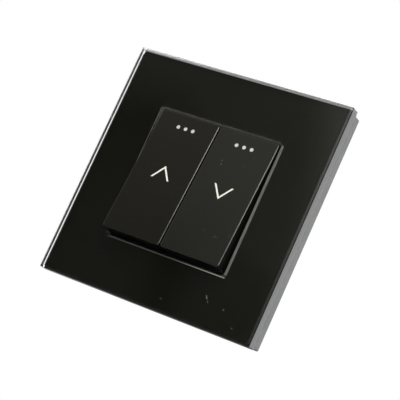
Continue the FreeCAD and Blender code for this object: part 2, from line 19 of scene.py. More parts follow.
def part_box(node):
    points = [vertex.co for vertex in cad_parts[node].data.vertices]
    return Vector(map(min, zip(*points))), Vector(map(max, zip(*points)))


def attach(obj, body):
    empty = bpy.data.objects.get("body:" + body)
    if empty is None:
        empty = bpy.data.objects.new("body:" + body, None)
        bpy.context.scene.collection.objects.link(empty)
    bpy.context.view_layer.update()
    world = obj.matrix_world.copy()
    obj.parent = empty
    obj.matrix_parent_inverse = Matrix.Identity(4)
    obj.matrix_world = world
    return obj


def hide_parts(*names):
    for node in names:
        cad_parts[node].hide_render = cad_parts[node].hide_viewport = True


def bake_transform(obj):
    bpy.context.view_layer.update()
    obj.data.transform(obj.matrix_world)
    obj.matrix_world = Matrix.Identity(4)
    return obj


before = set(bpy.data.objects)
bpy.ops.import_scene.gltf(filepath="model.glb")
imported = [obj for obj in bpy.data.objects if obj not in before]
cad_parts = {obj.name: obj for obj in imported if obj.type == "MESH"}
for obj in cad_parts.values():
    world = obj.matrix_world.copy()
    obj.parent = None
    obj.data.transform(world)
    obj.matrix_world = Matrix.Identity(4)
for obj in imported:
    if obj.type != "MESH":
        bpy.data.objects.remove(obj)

LOG = logging.getLogger("shutter_switch")
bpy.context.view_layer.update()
MM = 0.001

Colour = tuple[float, float, float]
Span = tuple[float, float]
Way = tuple[float, float, float]
Value = Union["Signal", float, int, bool, tuple, list, str]

NO_LIGHT: Colour = (0.0, 0.0, 0.0)
WHITE: Colour = (1.0, 1.0, 1.0)
CLOUD_FADE: Span = (0.3, 0.7)


class Body(Enum):
    """The moving groups of the switch."""

    ROOT = "root"
    UP_KEY = "up_key"
    UP_PUSH = "up_push"
    DOWN_KEY = "down_key"
    DOWN_PUSH = "down_push"


class Side(Enum):
    """The two keys, with the sign of their place along X."""

    UP = -1
    DOWN = 1

    @property
    def word(self) -> str:
        """The word that starts the names of this side's nodes."""
        return self.name.lower()

    @property
    def key(self) -> Body:
        """The body that rocks."""
        return Body[self.name + "_KEY"]

    @property
    def push(self) -> Body:
        """The body that slides."""
        return Body[self.name + "_PUSH"]


def srgb(red: int, green: int, blue: int) -> Colour:
    """A colour read off a screen as linear light.

    Args:
        red: The red value, from 0 to 255.
        green: The green value.
        blue: The blue value.

    Returns:
        The three linear values, from 0 to 1.
    """
    def linear(part: int) -> float:
        """One channel as linear light."""
        share = part / 255
        return share / 12.92 if share <= 0.04045 else ((share + 0.055) / 1.055) ** 2.4

    return linear(red), linear(green), linear(blue)


# Node trees

class Signal:
    """A socket of a node tree, used in expressions like a number."""

    def __init__(self, graph: "NodeGraph", socket: bpy.types.NodeSocket | None) -> None:
        """Wraps one output socket of a graph, or none where a node has no output."""
        self.graph = graph
        self.socket = socket

    def beside(self, output: str) -> "Signal":
        """Another output of the same node."""
        return Signal(self.graph, self.socket.node.outputs[output])

    def _maths(self, operation: str, *values: Value) -> "Signal":
        """A Math node on some values, as a new signal."""
        return self.graph.node("ShaderNodeMath", {"operation": operation}, dict(enumerate(values)))

    def __add__(self, other: Value) -> "Signal":
        """The sum."""
        return self._maths("ADD", self, other)

    def __radd__(self, other: Value) -> "Signal":
        """The sum, with the number first."""
        return self._maths("ADD", other, self)

    def __sub__(self, other: Value) -> "Signal":
        """The difference."""
        return self._maths("SUBTRACT", self, other)

    def __rsub__(self, other: Value) -> "Signal":
        """The difference, with the number first."""
        return self._maths("SUBTRACT", other, self)

    def __mul__(self, other: Value) -> "Signal":
        """The product."""
        return self._maths("MULTIPLY", self, other)

    def __rmul__(self, other: Value) -> "Signal":
        """The product, with the number first."""
        return self._maths("MULTIPLY", other, self)

    def __truediv__(self, other: Value) -> "Signal":
        """The quotient."""
        return self._maths("DIVIDE", self, other)

    def __rtruediv__(self, other: Value) -> "Signal":
        """The quotient, with the number first."""
        return self._maths("DIVIDE", other, self)

    def __neg__(self) -> "Signal":
        """The value with its sign turned."""
        return self._maths("MULTIPLY", self, -1.0)

    def __abs__(self) -> "Signal":
        """The size without its sign."""
        return self._maths("ABSOLUTE", self)

    def __gt__(self, other: Value) -> "Signal":
        """1 where this is greater, and 0 elsewhere."""
        return self._maths("GREATER_THAN", self, other)

    def __lt__(self, other: Value) -> "Signal":
        """1 where this is less, and 0 elsewhere."""
        return self._maths("LESS_THAN", self, other)

    def between(self, low: float, high: float) -> "Signal":
        """1 between two values, and 0 elsewhere."""
        return (self > low) - (self > high)

    def highest(self, other: Value) -> "Signal":
        """The greater of two values."""
        return self._maths("MAXIMUM", self, other)

    def root(self) -> "Signal":
        """The square root."""
        return self._maths("SQRT", self)

    def along(self, axis: Vector) -> "Signal":
        """How far a direction leans along an axis."""
        return self.graph.node("ShaderNodeVectorMath", {"operation": "DOT_PRODUCT"},
                               {0: self, 1: tuple(axis)}, "Value")

    def eased(self, low: float, high: float) -> "Signal":
        """A smooth step from 0 to 1.

        Args:
            low: Where the step starts.
            high: Where it ends.

        Returns:
            The eased signal.
        """
        settings = {"interpolation_type": "SMOOTHSTEP"}
        return self.graph.node("ShaderNodeMapRange", settings,
                               {"Value": self, "From Min": low, "From Max": high})


class NodeGraph:
    """The nodes of a material, of the world or of a shape."""

    def __init__(self, tree: bpy.types.NodeTree) -> None:
        """Starts with an empty tree."""
        self.tree = tree
        tree.nodes.clear()

    def _set(self, node: bpy.types.Node, name: str, value: object) -> None:
        """Sets one setting of a node.

        Args:
            node: The node.
            name: The setting's name, or the word stops for a ramp.
            value: The setting, or the place and the colour of each of the ramp's stops.
        """
        if name != "stops":
            setattr(node, name, value)
            return
        ramp = node.color_ramp.elements
        while len(ramp) < len(value):
            ramp.new(0.5)
        for element, (place, colour) in zip(ramp, value):
            element.position = place
            element.color = (*colour, 1.0)

    def node(self, kind: str, settings: dict[str, object] | None = None,
             values: dict[str | int, Value] | None = None, output: str | int = 0) -> Signal:
        """Adds a node.

        Args:
            kind: The node's type.
            settings: Its settings, or the stops of a ramp, set before its sockets.
            values: A number, a colour or a signal for each input, by name or by place.
            output: The output that is wanted, by name or by place.

        Returns:
            That output.
        """
        node = self.tree.nodes.new(kind)
        for name, value in (settings or {}).items():
            self._set(node, name, value)
        for name, value in (values or {}).items():
            socket = node.inputs[name]
            if isinstance(value, Signal):
                self.tree.links.new(value.socket, socket)
            elif isinstance(value, tuple) and len(value) == 3 and socket.type == "RGBA":
                socket.default_value = (*value, 1.0)
            else:
                socket.default_value = value
        return Signal(self, node.outputs[output] if len(node.outputs) else None)


class ShaderGraph(NodeGraph):
    """The nodes of one material or of the world, with the ones that are often used."""

    def place(self) -> Signal:
        """The place in the part's own frame."""
        return self.node("ShaderNodeTexCoord", output="Object")

    def axis(self, way: Signal, name: str) -> Signal:
        """The X, Y or Z of a place or a direction."""
        return self.node("ShaderNodeSeparateXYZ", {}, {0: way}, name)

    def facing(self, name: str) -> Signal:
        """How far the surface faces along X, Y or Z."""
        return self.axis(self.node("ShaderNodeNewGeometry", output="True Normal"), name)

    def noise(self, where: Signal, size: float, detail: float = 3.0,
              roughness: float = 0.5) -> Signal:
        """Soft noise around 0.5, in patches of a size in metres, with finer layers over them."""
        return self.node(
            "ShaderNodeTexNoise", {"noise_dimensions": "3D"},
            {"Vector": where, "Scale": 1 / size, "Detail": detail, "Roughness": roughness})

    def blend(self, share: Value, first: Value, second: Value) -> Signal:
        """A colour between two others."""
        return self.node("ShaderNodeMix", {"data_type": "RGBA"},
                         {0: share, 6: first, 7: second}, 2)

    def bump(self, height: Signal, depth: float) -> Signal:
        """A bumped normal from a height, where a height of 1 stands for the depth in metres."""
        return self.node("ShaderNodeBump", {}, {"Height": height, "Distance": depth})

    def principled(self, values: dict[str, Value]) -> Signal:
        """A physical shader, from its numbers, colours and signals by socket name."""
        return self.node("ShaderNodeBsdfPrincipled", {}, values)

    def mixed(self, share: Signal, first: Signal, second: Signal) -> Signal:
        """A shader between two others."""
        return self.node("ShaderNodeMixShader", {}, {0: share, 1: first, 2: second})

    def end(self, shader: Signal) -> None:
        """Ends a material with a shader."""
        self.node("ShaderNodeOutputMaterial", {}, {"Surface": shader})

    def surface(self, values: dict[str, Value]) -> None:
        """Ends a material with one physical shader."""
        self.end(self.principled(values))


# Finishes

@dataclass(frozen=True)
class Finish:
    """What all finishes share: a name and a way to make the material once."""

    name: str

    @functools.cache
    def material(self) -> bpy.types.Material:
        """The finish's material.

        Returns:
            The material, which is made on first use.
        """
        made = bpy.data.materials.new(self.name)
        made.use_nodes = True
        self.paint(ShaderGraph(made.node_tree))
        return made

    def paint(self, graph: ShaderGraph) -> None:
        """Fills the material's graph."""
        raise NotImplementedError

    def dress(self, *nodes: str) -> None:
        """Puts the finish on solid nodes.

        Args:
            nodes: The nodes' names.
        """
        for node in nodes:
            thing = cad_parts[node]
            thing.data.materials.clear()
            thing.data.materials.append(self.material())
            LOG.info("%s: %s", node, self.name)


@dataclass(frozen=True)
class Moulding(Finish):
    """Moulded plastic with a fine spark-eroded grain."""

    colour: Colour
    shade: Colour
    roughness: float
    spread: float = 0.05
    patch: float = 0.012
    grain: float = 0.00012
    grain_depth: float = 0.000004
    ior: float = 1.5
    subsurface: float = 0.0
    subsurface_reach: Way = (0.0006, 0.0006, 0.0005)

    def paint(self, graph: ShaderGraph) -> None:
        """Blends two near colours in wide patches, under a fine grain.

        Args:
            graph: The material's graph.
        """
        where = graph.place()
        cloud = graph.noise(where, self.patch, 4.0)
        grain = graph.noise(where, self.grain, 2.0)
        graph.surface({
            "Base Color": graph.blend(cloud.eased(*CLOUD_FADE), self.colour, self.shade),
            "Roughness": self.roughness + (cloud - 0.5) * self.spread,
            "Normal": graph.bump(grain, self.grain_depth),
            "IOR": self.ior,
            "Subsurface Weight": self.subsurface,
            "Subsurface Radius": self.subsurface_reach,
            "Subsurface Scale": 1.0,
        })


@dataclass(frozen=True)
class KeyFace:
    """Where the face of a key stands at rest, tilted about its pivot; both keys stand alike."""

    offset: float = 11.925 * MM
    pivot: Span = (-5.1 * MM, -0.2 * MM)
    reach: float = 5.0 * MM
    tilt: float = math.radians(5.7)

    def at(self, along: float) -> Span:
        """The Y and Z of a place on the face.

        Args:
            along: How far the place lies up the face from its middle.

        Returns:
            Its Y and its Z.
        """
        sine, cosine = math.sin(self.tilt), math.cos(self.tilt)
        return (self.pivot[0] - self.reach * cosine + along * sine,
                self.pivot[1] + self.reach * sine + along * cosine)


KEY_FACE = KeyFace()


@dataclass(frozen=True)
class KeyMark:
    """The chevron's stroke, with its apex and foot measured up its key's face from the middle."""

    side: Side
    apex: float
    foot: float
    slope: float
    half_stroke: float
    skin: float = 0.05 * MM

    def share(self, graph: ShaderGraph, where: Signal) -> Signal:
        """Where the stroke is.

        Args:
            graph: The material's graph.
            where: The place on the piece.

        Returns:
            1 on the stroke and 0 elsewhere.
        """
        points = -self.side.value
        sine, cosine = math.sin(KEY_FACE.tilt), math.cos(KEY_FACE.tilt)
        middle_y, middle_z = KEY_FACE.at(0.0)
        across = abs(graph.axis(where, "X") - self.side.value * KEY_FACE.offset)
        inwards, upwards = graph.axis(where, "Y") - middle_y, graph.axis(where, "Z") - middle_z
        along = inwards * sine + upwards * cosine
        height = upwards * sine - inwards * cosine
        line = self.apex - across * (points * self.slope) - along
        stroke = abs(line) < self.half_stroke * math.hypot(1.0, self.slope)
        return stroke * (along * points > self.foot * points) * (height > -self.skin)


@dataclass(frozen=True)
class KeyPlastic(Finish):
    """The keys' smooth black plastic with its pale chevron and its polished right-hand edges."""

    colour: Colour
    shade: Colour
    ior: float
    gloss: Colour
    mark: KeyMark
    pale: Colour = srgb(252, 250, 238)
    roughness: float = 0.2
    spread: float = 0.05
    mark_dulling: float = 0.2
    patch: float = 0.02
    grain: float = 0.00012
    grain_depth: float = 0.000001
    edge_start: Span = (0.2, 0.4)
    edge_end: Span = (0.78, 0.92)
    coat_roughness: float = 0.12
    coat_ior: float = 1.36

    def paint(self, graph: ShaderGraph) -> None:
        """Clouds the black, lays the chevron on it, and coats only what faces half to the right.

        Args:
            graph: The material's graph.
        """
        where = graph.place()
        cloud = graph.noise(where, self.patch, 4.0)
        rightwards = graph.facing("X")
        edge = rightwards.eased(*self.edge_start) * (1 - rightwards.eased(*self.edge_end))
        black = graph.blend(cloud.eased(*CLOUD_FADE), self.colour, self.shade)
        stroke = self.mark.share(graph, where)
        graph.surface({
            "Base Color": graph.blend(stroke, black, self.pale),
            "Roughness": self.roughness + (cloud - 0.5) * self.spread + stroke * self.mark_dulling,
            "Normal": graph.bump(graph.noise(where, self.grain, 2.0), self.grain_depth),
            "IOR": self.ior,
            "Specular Tint": self.gloss,
            "Coat Weight": edge,
            "Coat Roughness": self.coat_roughness,
            "Coat IOR": self.coat_ior,
        })


@dataclass(frozen=True)
class ClearGlass(Finish):
    """Float glass with a polished face and arris, and satin-ground walls.

    The glows are painted light for light that the glass carries inside it, as is the paler grey of
    the cut-out's ground walls; the dims are painted shade for arrises and walls that lie in shade.
    All are bound to places on the panel.
    """

    tint: Colour = (0.985, 0.995, 0.985)
    frost: Colour = srgb(123, 124, 123)
    lit_opening_frost: Colour = srgb(150, 151, 147)
    dark: Colour = srgb(22, 22, 17)
    ior: float = 1.52
    scatter: float = 0.75
    haze: float = 0.02
    haze_patch: float = 0.02
    haze_fade: Span = (0.5, 0.8)
    ground: float = 0.4
    ground_spread: float = 0.1
    grind: float = 0.00018
    grind_depth: float = 0.000002
    wall_turn: Span = (0.1, 0.4)
    outer_wall: float = 0.042
    opening_half: float = 0.0241
    glow: Colour = (1.0, 1.0, 0.94)
    top_glow: float = 0.034
    left_glow: float = 0.004
    right_glow: float = 0.1
    arris_line: Span = (0.0423, 0.0427)
    arris_glow: float = 0.03
    arris_climb: Span = (-0.04, 0.04)
    arris_foot: float = 0.2
    right_arris_dim: float = 0.4
    low_arris: float = 0.0420
    low_arris_end: float = -0.0406
    low_arris_dim: float = 0.6
    low_wall: float = 0.0429
    low_wall_fade: Span = (-0.025, 0.0)
    low_wall_dim: float = 0.5
    left_wall_dim: float = 0.35

    def paint(self, graph: ShaderGraph) -> None:
        """Grinds the walls that stand square to the face, polishes the rest, and shades both.

        Args:
            graph: The material's graph.
        """
        where = graph.place()
        across, upwards = graph.axis(where, "X"), graph.axis(where, "Z")
        inside = graph.node("ShaderNodeNewGeometry", output="Backfacing")
        wall = 1 - abs(graph.facing("Y")).eased(*self.wall_turn)
        outside = abs(across).highest(abs(upwards)) > self.outer_wall
        grind = graph.noise(where, self.grind, 2.0)
        rough = self.ground + (grind - 0.5) * self.ground_spread
        haze = graph.noise(where, self.haze_patch, 3.0).eased(*self.haze_fade) * self.haze
        arris_light = self.arris_light(across, upwards) * (1 - inside)
        clear = graph.principled({
            "Emission Color": graph.blend(arris_light, NO_LIGHT, self.glow),
            "Emission Strength": 1.0,
            "Base Color": self.tint,
            "Roughness": haze * (1 - wall) + wall * rough,
            "Normal": graph.bump(grind * wall, self.grind_depth),
            "Transmission Weight": 1.0,
            "IOR": self.ior,
        })
        wall_light = self.wall_light(across, upwards, inside) * (1 - outside)
        # Painted light: the cut-out's ground walls get a paler grey than the outer walls, for the
        # light that the glass carries to them.
        frosted = graph.principled({
            "Base Color": graph.blend(outside, self.lit_opening_frost, self.frost),
            "Roughness": rough,
            "Normal": graph.bump(grind, self.grind_depth),
            "IOR": self.ior,
            "Emission Color": graph.blend(wall_light, NO_LIGHT, self.glow),
            "Emission Strength": 1.0,
        })
        shade = graph.principled({
            "Base Color": graph.blend(haze, self.dark, NO_LIGHT),
            "Roughness": 0.9,
            "Specular IOR Level": 0.0,
        })
        dim = self.arris_dim(across, upwards) * (1 - wall)
        dim = (dim + self.wall_dim(across, upwards, outside) * wall) * (1 - inside)
        graph.end(graph.mixed(dim, graph.mixed(wall * self.scatter, clear, frosted), shade))

    def arris_light(self, across: Signal, upwards: Signal) -> Signal:
        """The line of light along the right arris, fainter towards its foot."""
        climb = upwards.eased(*self.arris_climb) * (1 - self.arris_foot) + self.arris_foot
        return across.between(*self.arris_line) * climb * self.arris_glow

    def wall_light(self, across: Signal, upwards: Signal, inside: Signal) -> Signal:
        """The light of the cut-out's walls.

        Args:
            across: The place along X.
            upwards: The place along Z.
            inside: 1 where the wall is seen from within the glass.

        Returns:
            How strongly the wall glows.
        """
        seen_through = (across > self.opening_half) * self.right_glow
        seen_across = ((upwards > self.opening_half) * self.top_glow
                       + (across < -self.opening_half) * self.left_glow)
        return seen_through * inside + seen_across * (1 - inside)

    def arris_dim(self, across: Signal, upwards: Signal) -> Signal:
        """How far the lower and the right arris lie in shade."""
        low = (upwards < -self.low_arris) * (across > self.low_arris_end) * self.low_arris_dim
        return low + (across > self.arris_line[1]) * self.right_arris_dim

    def wall_dim(self, across: Signal, upwards: Signal, outside: Signal) -> Signal:
        """How far the lower outer wall and the left wall of the cut-out lie in shade."""
        low = (upwards < -self.low_wall) * across.eased(*self.low_wall_fade) * self.low_wall_dim
        return low + (across < -self.opening_half) * (1 - outside) * self.left_wall_dim


@dataclass(frozen=True)
class PrintedInk(Finish):
    """The opaque print behind the glass, with a painted glint of the cut-out's rim on two sides."""

    colour: Colour = srgb(20, 20, 15)
    shade: Colour = srgb(24, 24, 19)
    roughness: float = 0.7
    spread: float = 0.1
    patch: float = 0.03
    glow: Colour = (1.0, 1.0, 0.94)
    low_rim: Span = (0.02444, 0.02469)
    low_half: float = 0.024
    low_glow: float = 0.068
    corner_glow: float = 0.3
    left_rim: Span = (0.0257, 0.0262)
    left_fade: Span = (-0.004, 0.006)
    left_glow: float = 0.115

    def paint(self, graph: ShaderGraph) -> None:
        """Gives the print a faint clouding and a painted glint of the cut-out's rim along two
        lines, with no gloss.

        Args:
            graph: The material's graph.
        """
        where = graph.place()
        across, upwards = graph.axis(where, "X"), graph.axis(where, "Z")
        cloud = graph.noise(where, self.patch, 3.0)
        # Painted light: two glowing lines stand in for the glint of the cut-out's rim, brighter
        # towards the lower right corner.
        low_glint = (-upwards).between(*self.low_rim) * (abs(across) < self.low_half)
        towards_corner = across.eased(0.0, self.low_rim[0]) * self.corner_glow
        low_glint = low_glint * (towards_corner + self.low_glow)
        left_glint = (-across).between(*self.left_rim) * (upwards < self.low_rim[0])
        left_glint = left_glint * upwards.eased(*self.left_fade) * self.left_glow
        graph.surface({
            "Emission Color": graph.blend(low_glint.highest(left_glint), NO_LIGHT, self.glow),
            "Emission Strength": 1.0,
            "Base Color": graph.blend(cloud.eased(*CLOUD_FADE), self.colour, self.shade),
            "Roughness": self.roughness + (cloud - 0.5) * self.spread,
            "Specular IOR Level": 0.0,
        })


@dataclass(frozen=True)
class EdgeSeal(Finish):
    """The satin bead between the glass and the frame, painted paler and glowing where it overhangs
    the frame, a painted light for the light from behind.
    """

    colour: Colour = srgb(128, 129, 128)
    pale: Colour = srgb(150, 152, 150)
    glow: Colour = srgb(112, 113, 112)
    roughness: float = 0.5
    spread: float = 0.1
    patch: float = 0.002
    overhang: float = 0.0420

    def paint(self, graph: ShaderGraph) -> None:
        """Paints the bead pale and glowing above the frame, for the light from behind that shines
        through it.

        Args:
            graph: The material's graph.
        """
        where = graph.place()
        above = graph.axis(where, "Z") > self.overhang
        # Painted light: above the frame the bead gets a paler colour and a glow, standing in for
        # light from behind.
        graph.surface({
            "Base Color": graph.blend(above, self.colour, self.pale),
            "Emission Color": graph.blend(above, NO_LIGHT, self.glow),
            "Emission Strength": 1.0,
            "Roughness": self.roughness + (graph.noise(where, self.patch) - 0.5) * self.spread,
        })


@dataclass(frozen=True)
class Metal(Finish):
    """Bare or plated metal with rolling or drawing marks."""

    colour: Colour
    shade: Colour
    roughness: float
    spread: float = 0.12
    patch: float = 0.006
    cloud_fade: Span = (0.35, 0.7)
    streak: float = 0.0006
    stretch: Way = (0.05, 1.0, 1.0)
    depth: float = 0.000003

    def paint(self, graph: ShaderGraph) -> None:
        """Streaks the metal along one way and clouds its plating.

        Args:
            graph: The material's graph.
        """
        where = graph.place()
        along = graph.node("ShaderNodeMapping", {"vector_type": "POINT"},
                           {"Vector": where, "Scale": self.stretch})
        streak = graph.noise(along, self.streak, 3.0, 0.6)
        cloud = graph.noise(where, self.patch, 4.0)
        graph.surface({
            "Base Color": graph.blend(cloud.eased(*self.cloud_fade), self.colour, self.shade),
            "Metallic": 1.0,
            "Roughness": self.roughness + (streak - 0.5) * self.spread,
            "Normal": graph.bump(streak, self.depth),
        })


@dataclass(frozen=True)
class Lacquer(Finish):
    """A circuit board's lacquer over its weave and its copper tracks."""

    colour: Colour = srgb(16, 78, 44)
    track: Colour = srgb(34, 108, 62)
    track_pitch: float = 0.0012
    track_edge: Span = (0.25, 0.32)
    weave_scale: float = 1500.0
    weave_wander: float = 0.5
    roughness: float = 0.28
    spread: float = 0.08
    relief: float = 0.00002
    coat: float = 0.4

    def paint(self, graph: ShaderGraph) -> None:
        """Lays straight tracks under the lacquer.

        Args:
            graph: The material's graph.
        """
        where = graph.place()
        tracks = graph.node("ShaderNodeMath", {"operation": "PINGPONG"},
                            {0: graph.axis(where, "Z"), 1: self.track_pitch})
        track = 1 - (tracks / self.track_pitch).eased(*self.track_edge)
        weave = graph.node(
            "ShaderNodeTexWave", {"wave_type": "BANDS", "bands_direction": "DIAGONAL"},
            {"Vector": where, "Scale": self.weave_scale, "Distortion": self.weave_wander}, "Fac")
        graph.surface({
            "Base Color": graph.blend(track, self.colour, self.track),
            "Roughness": self.roughness + weave * self.spread,
            "Normal": graph.bump(track * 0.7 + weave * 0.3, self.relief),
            "Coat Weight": self.coat,
        })


GLASS = ClearGlass("float_glass")
INK = PrintedInk("glass_back_print")
SEAL = EdgeSeal("edge_seal")
TAPE = Moulding("foam_tape_ring", srgb(28, 28, 27), srgb(36, 36, 34), 0.85,
                grain=0.0004, grain_depth=0.00003)
FRAME_GREY = Moulding("frame_plastic", srgb(116, 117, 116), srgb(109, 111, 112), 0.5, patch=0.006)
KEY_BLACKS = {
    Side.UP: KeyPlastic("up_key_plastic", srgb(9, 9, 7), srgb(11, 11, 9), 1.38, (1.0, 0.95, 0.8),
                        KeyMark(Side.UP, 3.25 * MM, -1.31 * MM, 1.37, 0.3 * MM), coat_ior=1.6),
    Side.DOWN: KeyPlastic("down_key_plastic", srgb(10, 11, 8), srgb(12, 13, 10), 1.46,
                          (0.98, 1.0, 0.86),
                          KeyMark(Side.DOWN, -1.07 * MM, 3.51 * MM, 1.333, 0.29 * MM)),
}
SHELL_BLACK = Moulding("housing_plastic", srgb(10, 10, 9), srgb(15, 15, 13), 0.6, grain=0.0002)
ROCKER_WHITE = Moulding("rocker_acetal", srgb(206, 205, 198), srgb(196, 195, 188), 0.45)
PIPE_WHITE = Moulding("light_pipe_plastic", srgb(213, 217, 212), srgb(208, 213, 208), 0.3,
                      grain_depth=0.000001, subsurface=0.3)
LENS = Moulding("lamp_lens_resin", srgb(240, 236, 214), srgb(228, 224, 200), 0.2, subsurface=0.4)
CHIP = Moulding("resistor_body", srgb(30, 30, 32), srgb(40, 40, 42), 0.4)
DUST = Moulding("dust_lint", srgb(150, 150, 145), srgb(110, 110, 106), 0.9, patch=0.0004)
LINT = Moulding("lint_fleck", srgb(222, 222, 218), srgb(196, 196, 192), 0.9, patch=0.0004)
FLOOR_PAPER = Moulding("floor_paper", srgb(208, 208, 206), srgb(204, 204, 202), 0.8, patch=0.2)
ZINC = Metal("bracket_zinc", srgb(202, 205, 208), srgb(178, 182, 188), 0.34,
             stretch=(1.0, 1.0, 0.04))
SCREW_STEEL = Metal("screw_nickel", srgb(205, 206, 208), srgb(188, 189, 192), 0.26, streak=0.0003)
COPPER = Metal("contact_copper", srgb(222, 160, 120), srgb(205, 142, 104), 0.3)
SILVER = Metal("contact_tip_silver", srgb(232, 231, 226), srgb(214, 212, 206), 0.22)
SPRING_WIRE = Metal("spring_wire_steel", srgb(188, 189, 192), srgb(168, 169, 173), 0.25,
                    streak=0.0001)
BRASS = Metal("terminal_brass", srgb(214, 184, 118), srgb(198, 166, 102), 0.28)
SOLDER = Metal("solder_tin", srgb(214, 216, 218), srgb(196, 198, 201), 0.2)
LACQUER = Lacquer("board_green_lacquer")


# Mesh building

def add_object(name: str, data: bpy.types.ID) -> bpy.types.Object:
    """Stands a mesh, a lamp or a camera in the scene.

    Args:
        name: The new object's name.
        data: What the object shows.

    Returns:
        The object, at the origin.
    """
    thing = bpy.data.objects.new(name, data)
    bpy.context.scene.collection.objects.link(thing)
    return thing


def rectangle(left: float, right: float, foot: float, head: float) -> list[Span]:
    """The corners of a rectangle, turning left from the lower left one."""
    return [(left, foot), (right, foot), (right, head), (left, head)]


def mesh_of(name: str, corners: list[Vector], faces: list[tuple[int, ...]]) -> bpy.types.Mesh:
    """Makes a mesh.

    Args:
        name: The mesh's name.
        corners: Its corners.
        faces: The corners of each face, by number.

    Returns:
        The mesh.
    """
    mesh = bpy.data.meshes.new(name)
    mesh.from_pydata([tuple(corner) for corner in corners], [], faces)
    mesh.update()
    return mesh


def ride(piece: bpy.types.Object, body: Body) -> None:
    """Sets a finished piece on its body.

    Args:
        piece: The piece, in its place.
        body: The body that carries it.
    """
    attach(piece, body.value)
    LOG.info("%s rides on %s, %d faces", piece.name, body.value, len(piece.data.polygons))


class ShapeTree(NodeGraph):
    """A Geometry Nodes tree with named inputs, which makes one plain mesh at a time."""

    def __init__(self, name: str, inputs: dict[str, str]) -> None:
        """Makes the tree.

        Args:
            name: The tree's name.
            inputs: The type of each named input.
        """
        super().__init__(bpy.data.node_groups.new(name, "GeometryNodeTree"))
        sides = self.tree.interface
        sides.new_socket("Geometry", in_out="INPUT", socket_type="NodeSocketGeometry")
        for label, kind in {**inputs, "Material": "NodeSocketMaterial"}.items():
            sides.new_socket(label, in_out="INPUT", socket_type=kind)
        sides.new_socket("Geometry", in_out="OUTPUT", socket_type="NodeSocketGeometry")
        self.source = self.tree.nodes.new("NodeGroupInput")

    def input(self, name: str) -> Signal:
        """One named input of the tree."""
        return Signal(self, self.source.outputs[name])

    def finish(self, shape: Signal) -> None:
        """Ends the tree: makes copies real, smooths them and sets their material.

        Args:
            shape: The shape that the tree has made.
        """
        real = self.node("GeometryNodeRealizeInstances", {}, {0: shape})
        shaded = self.node("GeometryNodeSetShadeSmooth", {},
                           {"Geometry": real, "Shade Smooth": True})
        dressed = self.node("GeometryNodeSetMaterial", {},
                            {"Geometry": shaded, "Material": self.input("Material")})
        self.node("NodeGroupOutput", {}, {0: dressed})

    def make(self, name: str, base: bpy.types.Mesh,
             values: dict[str, object]) -> bpy.types.Object:
        """Runs the tree once.

        Args:
            name: The new piece's name.
            base: The mesh that goes into the tree.
            values: A value for each named input.

        Returns:
            A plain mesh object at the origin.
        """
        carrier = add_object(name + "_base", base)
        modifier = carrier.modifiers.new("shape", "NODES")
        modifier.node_group = self.tree
        keys = {item.name: item.identifier for item in self.tree.interface.items_tree
                if item.in_out == "INPUT"}
        for label, value in values.items():
            modifier[keys[label]] = value
        graph = bpy.context.evaluated_depsgraph_get()
        mesh = bpy.data.meshes.new_from_object(carrier.evaluated_get(graph))
        mesh.name = name
        bpy.data.objects.remove(carrier)
        return add_object(name, mesh)


# The switch

@dataclass
class DustField:
    """Fine specks of dust that lie on a flat face, and single flecks of lint."""

    speck: float = 0.06 * MM
    speck_range: tuple[Way, Way] = ((0.5, 0.5, 0.1), (2.2, 1.1, 0.2))
    fleck_range: tuple[Way, Way] = ((0.8, 0.1, 0.8), (1.3, 0.2, 1.3))

    @functools.cached_property
    def speck_tree(self) -> ShapeTree:
        """The tree that scatters flat specks over the faces of its base.

        Returns:
            The tree, which is made on first use.
        """
        tree = ShapeTree("dust_scatter", {"Density": "NodeSocketFloat", "Speck": "NodeSocketFloat",
                                          "Seed": "NodeSocketInt"})
        points = tree.node(
            "GeometryNodeDistributePointsOnFaces", {"distribute_method": "RANDOM"},
            {"Mesh": tree.input("Geometry"), "Density": tree.input("Density"),
             "Seed": tree.input("Seed")})
        ball = tree.node("GeometryNodeMeshIcoSphere", {},
                         {"Radius": tree.input("Speck"), "Subdivisions": 1})
        size = tree.node("FunctionNodeRandomValue", {"data_type": "FLOAT_VECTOR"},
                         {0: self.speck_range[0], 1: self.speck_range[1],
                          "Seed": tree.input("Seed")})
        tree.finish(tree.node("GeometryNodeInstanceOnPoints", {},
                              {"Points": points, "Instance": ball,
                               "Rotation": points.beside("Rotation"), "Scale": size}))
        return tree

    @functools.cached_property
    def fleck_tree(self) -> ShapeTree:
        """The tree that sets one flat fleck of lint on every point of its base.

        Returns:
            The tree, which is made on first use.
        """
        tree = ShapeTree("lint_flecks", {"Fleck": "NodeSocketFloat", "Seed": "NodeSocketInt"})
        ball = tree.node("GeometryNodeMeshIcoSphere", {},
                         {"Radius": tree.input("Fleck"), "Subdivisions": 2})
        size = tree.node("FunctionNodeRandomValue", {"data_type": "FLOAT_VECTOR"},
                         {0: self.fleck_range[0], 1: self.fleck_range[1],
                          "Seed": tree.input("Seed")})
        tree.finish(tree.node("GeometryNodeInstanceOnPoints", {},
                              {"Points": tree.input("Geometry"), "Instance": ball, "Scale": size}))
        return tree

    def lay(self, name: str, patches: list[list[Vector]], density: float,
            seed: int) -> bpy.types.Object:
        """Scatters dust over flat patches.

        Args:
            name: The new piece's name.
            patches: The corners of each patch, turning left as seen from in front.
            density: Specks per square metre.
            seed: The fixed seed.

        Returns:
            The dust as one piece.
        """
        corners = [corner for patch in patches for corner in patch]
        faces = [tuple(range(4 * i, 4 * i + 4)) for i in range(len(patches))]
        return self.speck_tree.make(name, mesh_of(name + "_patches", corners, faces), {
            "Density": density, "Speck": self.speck, "Seed": seed, "Material": DUST.material()})

    def settle(self, name: str, places: list[Vector], fleck: float,
               seed: int) -> bpy.types.Object:
        """Sets single flecks of lint at chosen places.

        Args:
            name: The new piece's name.
            places: Where each fleck lies.
            fleck: The radius of a fleck of middling size.
            seed: The fixed seed.

        Returns:
            The flecks as one piece.
        """
        return self.fleck_tree.make(name, mesh_of(name + "_places", places, []), {
            "Fleck": fleck, "Seed": seed, "Material": LINT.material()})


